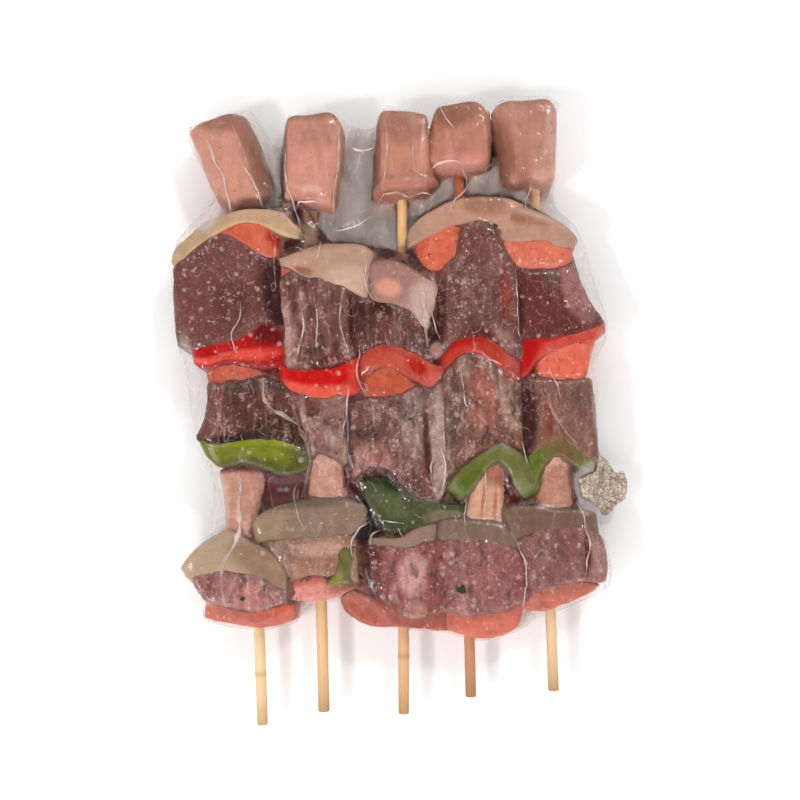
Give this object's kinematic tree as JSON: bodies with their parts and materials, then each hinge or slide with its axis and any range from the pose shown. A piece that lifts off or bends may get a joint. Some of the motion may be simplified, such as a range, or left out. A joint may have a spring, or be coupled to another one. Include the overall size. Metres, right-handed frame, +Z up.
{
  "type": "vacuum pack of anticucho skewers",
  "caption": "Clear vacuum pack lying flat, with raw meat, sausage, onion and pepper threaded on round bamboo sticks whose bare handles stand out of one end.",
  "frame": {"origin": "middle of the pack's plan, with its stick handles, on the surface it lies on", "axes": "+Y along the skewers, away from the bare handles; +X to the right seen from above; +Z up, shown side up"},
  "size_m": [0.197, 0.2708, 0.029],
  "materials": {
    "film": "clear gloss film",
    "bamboo": "bare sanded bamboo",
    "sausage": "smooth moist skin",
    "longaniza": "moist paprika sausage",
    "beef": "raw meat under film",
    "onion": "satin onion layer",
    "red_pepper": "shiny pepper skin",
    "green_pepper": "shiny pepper skin",
    "juice": "dark meat juice",
    "herb": "matt dried leaf"
  },
  "bodies": {
    "root": {"vacuum_bag": "film", "stick_1": "bamboo", "stick_2": "bamboo", "stick_3": "bamboo", "stick_4": "bamboo", "stick_5": "bamboo"}
  },
  "joints": []
}
